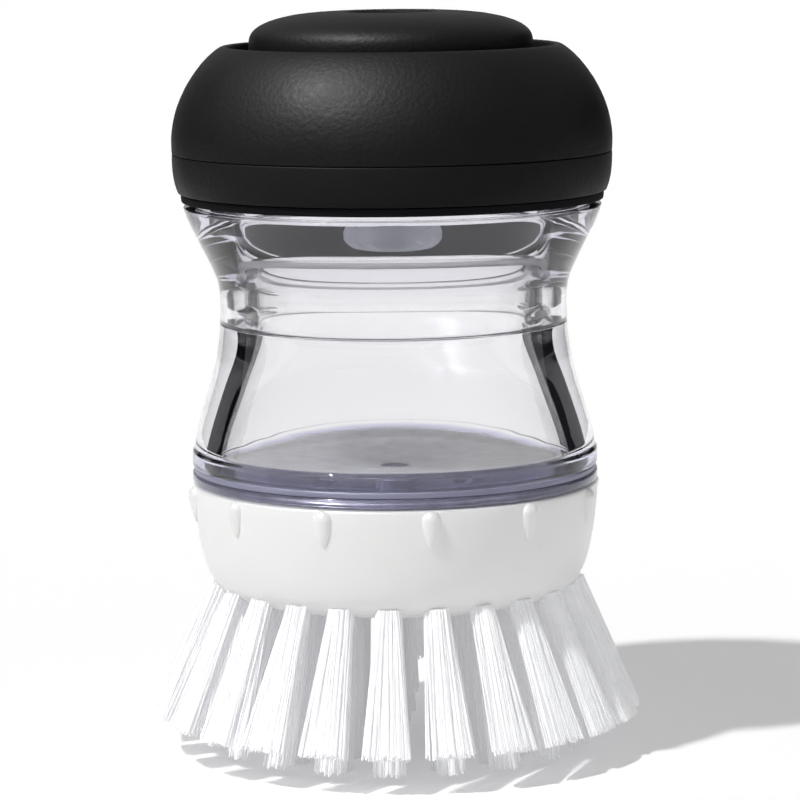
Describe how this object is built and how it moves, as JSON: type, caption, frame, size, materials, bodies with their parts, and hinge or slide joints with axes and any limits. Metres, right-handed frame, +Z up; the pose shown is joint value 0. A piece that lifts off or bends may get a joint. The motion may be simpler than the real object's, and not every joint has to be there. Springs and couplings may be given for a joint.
{
  "type": "soap dispensing palm brush",
  "caption": "Round palm brush with a clear soap tank, a domed rubber grip with a pump button on top, and a twist-off head of stiff splayed bristles.",
  "frame": {"origin": "centre of the plane that the bristle tips stand on", "axes": "+Z up along the brush's axis, from the tips to the button"},
  "size_m": [0.0714, 0.0714, 0.1063],
  "materials": {
    "black_rubber": "soft matte, very fine grain",
    "black_plastic": "satin moulded",
    "clear_plastic": "polished, water clear",
    "clear_tinted": "polished, faint violet-blue tint in the thick rim",
    "white_plastic": "smooth semi-gloss",
    "white_nylon": "drawn filament, satin",
    "silicone": "translucent matte",
    "spring_steel": "drawn wire"
  },
  "bodies": {
    "tank": {"tank_shell": "clear_plastic", "tank_base": "clear_tinted", "base_gasket": "silicone", "outlet_valve": "silicone", "valve_retainer": "white_plastic"},
    "lid_gasket": {"lid_gasket": "silicone"},
    "lid": {"clear_collar": "clear_plastic", "cap_ring": "black_plastic", "grip_band": "black_rubber", "palm_grip": "black_rubber", "cap_core": "black_plastic", "pump_cup": "black_plastic", "check_valve": "silicone", "pump_bellows": "silicone", "return_spring": "spring_steel"},
    "button": {"push_button": "black_rubber", "button_plunger": "white_plastic"},
    "head_seal": {"head_seal": "silicone"},
    "brush_head": {"brush_head": "white_plastic", "bristles_outer_1": "white_nylon", "bristles_outer_2": "white_nylon", "bristles_outer_3": "white_nylon", "bristles_outer_4": "white_nylon", "bristles_outer_5": "white_nylon", "bristles_outer_6": "white_nylon", "bristles_second_1": "white_nylon", "bristles_second_2": "white_nylon", "bristles_second_3": "white_nylon", "bristles_second_4": "white_nylon", "bristles_third_1": "white_nylon", "bristles_third_2": "white_nylon", "bristles_third_3": "white_nylon", "bristles_third_4": "white_nylon", "bristles_inner_1": "white_nylon", "bristles_inner_2": "white_nylon", "bristles_inner_3": "white_nylon", "bristles_inner_4": "white_nylon"}
  },
  "joints": [
    {"name": "lid_turn", "type": "hinge", "parent": "lid_gasket", "child": "lid", "pos_m": [0, 0, 0.0622], "axis": [0, 0, 1], "range_deg": [0, 720]},
    {"name": "lid_lift", "type": "slide", "parent": "tank", "child": "lid_gasket", "axis": [0, 0, 1], "range_m": [0, 0.0121]},
    {"name": "button_press", "type": "slide", "parent": "lid", "child": "button", "axis": [0, 0, -1], "range_m": [0, 0.0045], "stiffness_N_per_m": 500, "springref_m": -0.004, "deforming": ["pump_bellows", "return_spring"]},
    {"name": "head_turn", "type": "hinge", "parent": "head_seal", "child": "brush_head", "pos_m": [0, 0, 0.0389], "axis": [0, 0, -1], "range_deg": [0, 72]},
    {"name": "head_drop", "type": "slide", "parent": "tank", "child": "head_seal", "axis": [0, 0, -1], "range_m": [0, 0.0041]}
  ],
  "couplings": [
    {"joint": "lid_lift", "follows": "lid_turn", "m_per_rad": 0.00095493},
    {"joint": "head_drop", "follows": "head_turn", "m_per_rad": 0.0031831}
  ]
}
